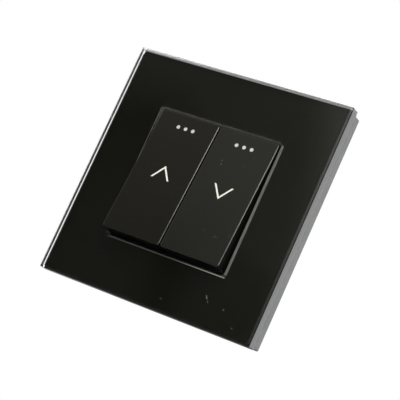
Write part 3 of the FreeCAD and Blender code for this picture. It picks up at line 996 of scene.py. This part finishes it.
@dataclass
class GlassPanel:
    """The glass with its print, bead, tape, grey frame, dust and a few flecks of lint."""

    opening: float = 48.4 * MM
    arris: float = 0.8 * MM
    bond: float = 0.005 * MM
    print_edge: float = 1.0 * MM
    left_bare: float = 0.3 * MM
    top_bare: Span = (0.21 * MM, 0.07 * MM)
    seal_gap: float = 0.02 * MM
    seal_inset: float = 0.06 * MM
    dust_density: float = 9000.0
    dust_seed: int = 7
    fleck: float = 0.13 * MM
    fleck_seed: int = 5
    flecks: tuple[Span, ...] = (
        (35.0, -39.4), (6.6, -38.6), (29.6, -34.8), (21.9, -32.5), (22.3, -33.1), (23.1, -34.2))

    def build(self, dust: DustField) -> None:
        """Dresses the panel and lays its dust and lint.

        Args:
            dust: What makes the dust and the lint.
        """
        GLASS.dress("glass_panel")
        self.bond_print()
        TAPE.dress("panel_adhesive")
        FRAME_GREY.dress("panel_frame")
        self.run_seal()
        specks = dust.lay("glass_dust", self.face_patches(), self.dust_density, self.dust_seed)
        ride(specks, Body.ROOT)
        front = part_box("glass_panel")[0].y
        places = [Vector((x * MM, front, z * MM)) for x, z in self.flecks]
        ride(dust.settle("glass_lint", places, self.fleck, self.fleck_seed), Body.ROOT)

    def bond_print(self) -> None:
        """Bonds the print to the glass without air, short of the left and upper edges."""
        node = "backing_film"
        low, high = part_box(node)
        margin = high.x - self.print_edge
        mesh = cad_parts[node].data.copy()
        mesh.name = "glass_print"
        for corner in mesh.vertices:
            if corner.co.y < (low.y + high.y) / 2:
                corner.co.y -= self.bond
            if corner.co.x < -margin:
                corner.co.x += self.left_bare
            if corner.co.z > margin:
                corner.co.z -= self.top_bare[0] if corner.co.x < 0 else self.top_bare[1]
        mesh.materials.clear()
        mesh.materials.append(INK.material())
        piece = add_object("glass_print", mesh)
        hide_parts(node)
        ride(piece, Body.ROOT)

    def run_seal(self) -> None:
        """Runs a square bead along the print's right, lower and upper edges."""
        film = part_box("backing_film")
        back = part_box("panel_frame")[0].y - self.seal_gap
        front = film[0].y - self.bond
        inner = film[1].x + self.seal_gap
        upper = inner - max(self.top_bare)
        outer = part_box("glass_panel")[1].x - self.seal_inset
        runs = [(inner, outer, -outer, outer), (-inner, inner, -outer, -inner),
                (-inner, inner, upper, outer)]
        corners = []
        faces = []
        for run in runs:
            first = len(corners)
            corners += [Vector((x, y, z)) for y in (front, back) for x, z in rectangle(*run)]
            faces += [(first, first + 1, first + 2, first + 3),
                      (first + 7, first + 6, first + 5, first + 4)]
            for here in range(4):
                there = (here + 1) % 4
                faces.append((first + there, first + here, first + 4 + here, first + 4 + there))
        mesh = mesh_of("edge_seal", corners, faces)
        mesh.materials.append(SEAL.material())
        ride(add_object("edge_seal", mesh), Body.ROOT)

    def face_patches(self) -> list[list[Vector]]:
        """The plain stretches of the face round the cut-out.

        Returns:
            The corners of each of the four.
        """
        low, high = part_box("glass_panel")
        outer = high.x - 2 * self.arris
        inner = self.opening / 2 + self.arris
        spans = [(-outer, outer, inner, outer), (-outer, outer, -outer, -inner),
                 (-outer, -inner, -inner, inner), (inner, outer, -inner, inner)]
        return [[Vector((x, low.y, z)) for x, z in rectangle(*span)] for span in spans]


@dataclass
class Key:
    """A rocker cap with its chevron, its lit dots, its rocker, its dust and its lint."""

    side: Side
    dust_seed: int
    width: float = 23.35 * MM
    length: float = 46.65 * MM
    dust_edge: float = 1.5 * MM
    dust_density: float = 12000.0
    fleck: float = 0.09 * MM
    fleck_seed: int = 9
    flecks: tuple[Span, ...] = (
        (-5.3, 11.8), (-5.0, 10.5), (5.9, -14.0), (5.0, -14.6), (10.3, -12.4), (1.0, -13.0))

    def build(self, dust: DustField) -> None:
        """Dresses the key and lays its dust, and the lint that only the down key has.

        Args:
            dust: What makes the dust and the lint.
        """
        word = self.side.word
        KEY_BLACKS[self.side].dress(word + "_key_cap", word + "_arrow")
        PIPE_WHITE.dress(word + "_light_pipe")
        ROCKER_WHITE.dress(word + "_key_carrier")
        half_x = self.width / 2 - self.dust_edge
        half_u = self.length / 2 - self.dust_edge
        patch = [self.on_face(x, u) for x, u in rectangle(-half_x, half_x, -half_u, half_u)]
        specks = dust.lay(word + "_key_dust", [patch], self.dust_density, self.dust_seed)
        ride(specks, self.side.key)
        if self.side is Side.DOWN:
            places = [self.on_face(x * MM, u * MM) for x, u in self.flecks]
            lint = dust.settle(word + "_key_lint", places, self.fleck, self.fleck_seed)
            ride(lint, self.side.key)

    def on_face(self, across: float, along: float) -> Vector:
        """A place on the cap's face, right of its middle line and up from its middle."""
        return Vector((self.side.value * KEY_FACE.offset + across, *KEY_FACE.at(along)))


@dataclass
class PushUnit:
    """The plunger below a rocker, with its contact bridge and its return spring."""

    side: Side
    wire: float = 0.3 * MM
    turns: float = 5.0
    steps: int = 32

    def build(self, coil: ShapeTree) -> None:
        """Dresses the unit and winds its spring.

        Args:
            coil: The tree that winds springs.
        """
        word = self.side.word
        ROCKER_WHITE.dress(word + "_plunger")
        COPPER.dress(word + "_bridge", word + "_contact")
        SILVER.dress(word + "_bridge_tips")
        self.wind(coil)

    def wind(self, coil: ShapeTree) -> None:
        """Winds the return spring.

        Args:
            coil: The tree that winds springs.
        """
        node = self.side.word + "_return_spring"
        low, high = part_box(node)
        middle = (low + high) / 2
        radius = (high.x - low.x) / 2 - self.wire
        start = Vector((middle.x, high.y - self.wire, middle.z))
        rise = high.y - low.y - 2 * self.wire
        spring = coil.make(self.side.word + "_coil", mesh_of(node + "_seat", [start], []), {
            "Radius": radius, "Wire": self.wire, "Turns": self.turns, "Rise": rise,
            "Steps": self.steps, "Place": start, "Material": SPRING_WIRE.material()})
        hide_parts(node)
        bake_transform(spring)
        LOG.info("%s winds from root to %s", spring.name, self.side.push.value)


def coil_tree(wire_sides: int = 14) -> ShapeTree:
    """The tree that winds a coil spring which rises towards -Y.

    Args:
        wire_sides: How many sides the round wire has.

    Returns:
        The tree.
    """
    tree = ShapeTree("coil_spring", {"Radius": "NodeSocketFloat", "Wire": "NodeSocketFloat",
                                     "Turns": "NodeSocketFloat", "Rise": "NodeSocketFloat",
                                     "Steps": "NodeSocketInt", "Place": "NodeSocketVector"})
    path = tree.node("GeometryNodeCurveSpiral", {}, {
        "Resolution": tree.input("Steps"), "Rotations": tree.input("Turns"),
        "Start Radius": tree.input("Radius"), "End Radius": tree.input("Radius"),
        "Height": tree.input("Rise")})
    ring = tree.node("GeometryNodeCurvePrimitiveCircle", {},
                     {"Resolution": wire_sides, "Radius": tree.input("Wire")})
    tube = tree.node("GeometryNodeCurveToMesh", {},
                     {"Curve": path, "Profile Curve": ring, "Fill Caps": True})
    tree.finish(tree.node("GeometryNodeTransform", {}, {
        "Geometry": tube, "Translation": tree.input("Place"),
        "Rotation": (math.pi / 2, 0.0, 0.0)}))
    return tree


@dataclass
class Housing:
    """The bracket, the black housing, its screws, the contacts and the terminals."""

    def build(self) -> None:
        """Dresses the whole housing."""
        ZINC.dress("mounting_bracket")
        SHELL_BLACK.dress("mechanism_cover", "mechanism_shell", "mechanism_base",
                          "contact_supports")
        SCREW_STEEL.dress("housing_screws", "terminal_screws")
        COPPER.dress("common_bar")
        SILVER.dress("fixed_tips")
        BRASS.dress("line_terminal", "neutral_terminal", "up_terminal", "down_terminal")


@dataclass
class LampBoard:
    """The circuit board behind the dots, with its parts soldered on."""

    lamp_pitch: float = 3.0 * MM
    resistor_offset: float = 5.0 * MM
    resistor_length: float = 2.0 * MM
    joint_radius: float = 0.42 * MM
    joint_height: float = 0.3 * MM
    joint_segments: int = 16
    joint_rings: int = 10

    def build(self) -> None:
        """Dresses the board and solders its parts."""
        LACQUER.dress("led_board")
        LENS.dress("indicator_leds")
        CHIP.dress("led_resistors")
        BRASS.dress("board_pins")
        joints = mesh_of("joint_places", self.joint_places(), [])
        piece = self.solder_tree().make("solder_joints", joints, {
            "Radius": self.joint_radius, "Height": self.joint_height,
            "Material": SOLDER.material()})
        ride(piece, Body.ROOT)

    def joint_places(self) -> list[Vector]:
        """Where each lamp and resistor ends on the board.

        Returns:
            The places, first of the lamps and then of the resistors.
        """
        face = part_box("led_board")[0].y
        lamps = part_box("indicator_leds")
        places = []
        for side in Side:
            for step in (-1, 0, 1):
                x = side.value * KEY_FACE.offset + step * self.lamp_pitch
                places += [Vector((x, face, lamps[0].z)), Vector((x, face, lamps[1].z))]
        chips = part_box("led_resistors")
        middle = (chips[0].z + chips[1].z) / 2
        for side in Side:
            for end in (-1, 1):
                x = side.value * self.resistor_offset + end * self.resistor_length / 2
                places.append(Vector((x, face, middle)))
        return places

    def solder_tree(self) -> ShapeTree:
        """The tree that sets a flat dome of solder on every point.

        Returns:
            The tree.
        """
        tree = ShapeTree("solder_domes",
                         {"Radius": "NodeSocketFloat", "Height": "NodeSocketFloat"})
        ball = tree.node("GeometryNodeMeshUVSphere", {},
                         {"Segments": self.joint_segments, "Rings": self.joint_rings,
                          "Radius": tree.input("Radius")})
        ratio = tree.input("Height") / tree.input("Radius")
        scale = tree.node("ShaderNodeCombineXYZ", {}, {0: 1.0, 1: ratio, 2: 1.0})
        tree.finish(tree.node("GeometryNodeInstanceOnPoints", {},
                              {"Points": tree.input("Geometry"), "Instance": ball, "Scale": scale}))
        return tree


# The studio

@dataclass
class Lamp:
    """One soft lamp: its place, its size and its strength."""

    name: str
    place: Way
    size: Span
    watts: float
    aim: Way = (0.0, 0.0, 0.0)

    def build(self) -> None:
        """Hangs the lamp and turns it to the switch."""
        data = bpy.data.lights.new(self.name, "AREA")
        data.shape = "RECTANGLE"
        data.size, data.size_y = self.size
        data.energy = self.watts
        lamp = add_object(self.name, data)
        lamp.location = self.place
        way = Vector(self.aim) - Vector(self.place)
        lamp.rotation_euler = way.to_track_quat("-Z", "Y").to_euler()
        LOG.info("%s hangs at %s", self.name, self.place)


@dataclass
class Studio:
    """The camera, the lamps, the pale surround and the floor.

    The surround is white but for a dim flag in front of the glass. Its roof, its right flank
    and a small patch low on the left are lighter or darker than the rest.
    """

    eye: Way = (0.253693, -0.440342, -0.091193)
    right: Way = (0.824565, 0.391540, 0.408398)
    up: Way = (-0.280341, -0.344245, 0.896049)
    back: Way = (0.491428, -0.853342, -0.174087)
    lens: float = 136.431
    sensor: float = 36.0
    near: float = 0.01
    floor_height: float = -0.22
    floor_size: float = 3.0
    ambient: float = 0.45
    flag_azimuth: float = math.radians(33.0)
    flag_elevation: float = math.radians(6.0)
    flag_narrowing: float = 1.9
    flag_stops: tuple[tuple[float, Colour], ...] = (
        (0.0, (0.13, 0.13, 0.12)), (0.105, (0.088, 0.089, 0.070)), (0.146, (0.22, 0.222, 0.20)),
        (0.225, (0.25, 0.253, 0.21)), (0.245, (0.38, 0.385, 0.33)), (0.265, (0.60, 0.605, 0.57)),
        (0.36, (0.80, 0.80, 0.76)), (0.52, (1.0, 1.0, 1.0)))
    roof_way: Way = (-0.62, 0.22, 0.75)
    roof_fade: Span = (0.9, 0.97)
    roof_glow: float = 1.2
    spot_fade: Span = (0.985, 0.999)
    spot_glow: float = 2.6
    side_way: Way = (0.88, -0.43, 0.0)
    side_fade: Span = (0.9, 0.96)
    side_climb: Span = (0.08, 0.28)
    side_base: float = -0.5
    side_rise: float = 0.75
    low_way: Way = (-0.466, -0.877, 0.116)
    low_fade: Span = (0.9987, 0.9998)
    low_dip: float = -0.38
    lamps: list[Lamp] = field(default_factory=lambda: [
        Lamp("side_lamp", (0.86, -0.08, 0.14), (0.25, 0.45), 3.0),
        Lamp("front_lamp", (0.45, -0.75, 0.55), (0.5, 0.5), 6.0),
    ])

    def build(self) -> None:
        """Sets up the whole studio."""
        self.build_camera()
        self.build_world()
        self.build_floor()
        for lamp in self.lamps:
            lamp.build()
        bpy.context.scene.view_settings.view_transform = "Standard"

    def build_camera(self) -> None:
        """Stands the camera where the picture was taken from."""
        data = bpy.data.cameras.new("camera")
        data.lens = self.lens
        data.sensor_width = self.sensor
        data.clip_start = self.near
        camera = add_object("camera", data)
        turn = Matrix((self.right, self.up, self.back)).transposed()
        camera.matrix_world = Matrix.Translation(self.eye) @ turn.to_4x4()
        bpy.context.scene.camera = camera

    def build_world(self) -> None:
        """Lights the switch from all round, and shows the camera plain white."""
        world = bpy.data.worlds.new("surround")
        world.use_nodes = True
        bpy.context.scene.world = world
        graph = ShaderGraph(world.node_tree)
        way = graph.place()
        shine = graph.node("ShaderNodeVectorMath", {"operation": "SCALE"},
                           {0: self.flag(way), "Scale": self.patches(way) + 1.0})
        rays = {name: graph.node("ShaderNodeLightPath", output=name)
                for name in ("Is Camera Ray", "Is Glossy Ray", "Is Transmission Ray")}
        mirrored = rays["Is Glossy Ray"].highest(rays["Is Transmission Ray"])
        colour = graph.blend(mirrored, (self.ambient,) * 3, shine)
        colour = graph.blend(rays["Is Camera Ray"], colour, WHITE)
        light = graph.node("ShaderNodeBackground", {}, {"Color": colour, "Strength": 1.0})
        graph.node("ShaderNodeOutputWorld", {}, {"Surface": light})

    def flag(self, way: Signal) -> Signal:
        """The dim flag in the white surround, in front of the glass.

        Args:
            way: The direction that is looked in.

        Returns:
            The surround's colour in that direction.
        """
        round_z = Matrix.Rotation(-self.flag_azimuth, 3, "Z")
        sine, cosine = math.sin(self.flag_elevation), math.cos(self.flag_elevation)
        ahead = way.along(round_z @ Vector((0.0, -cosine, sine)))
        across = way.along(round_z @ Vector((1.0, 0.0, 0.0))) * self.flag_narrowing
        rise = way.along(round_z @ Vector((0.0, sine, cosine)))
        spread = (across * across + rise * rise).root() + (ahead < 0.0)
        return way.graph.node("ShaderNodeValToRGB", {"stops": self.flag_stops}, {"Fac": spread})

    def patches(self, way: Signal) -> Signal:
        """The roof, the flank and the low patch of the surround.

        Args:
            way: The direction that is looked in.

        Returns:
            How much lighter or darker than the rest the surround is there.
        """
        lean = way.along(Vector(self.roof_way).normalized())
        roof = (lean.eased(*self.roof_fade) * self.roof_glow
                + lean.eased(*self.spot_fade) * self.spot_glow)
        height = way.along(Vector((0.0, 0.0, 1.0)))
        flank = way.along(Vector(self.side_way).normalized()).eased(*self.side_fade)
        flank = flank * (height.eased(*self.side_climb) * self.side_rise + self.side_base)
        dip = way.along(Vector(self.low_way).normalized()).eased(*self.low_fade) * self.low_dip
        return roof + flank + dip

    def build_floor(self) -> None:
        """Lays a plain pale floor below the switch."""
        half = self.floor_size / 2
        corners = [Vector((x, y, self.floor_height)) for x, y in
                   rectangle(-half, half, -half, half)]
        floor = add_object("floor", mesh_of("floor", corners, [(0, 1, 2, 3)]))
        floor.data.materials.append(FLOOR_PAPER.material())


def main() -> None:
    """Builds the switch and its studio."""
    logging.basicConfig(level=logging.INFO, format="%(message)s")
    Studio().build()
    dust = DustField()
    GlassPanel().build(dust)
    Housing().build()
    coil = coil_tree()
    for side, seed in ((Side.UP, 3), (Side.DOWN, 11)):
        Key(side, seed).build(dust)
        PushUnit(side).build(coil)
    LampBoard().build()


if __name__ == "__main__":
    main()
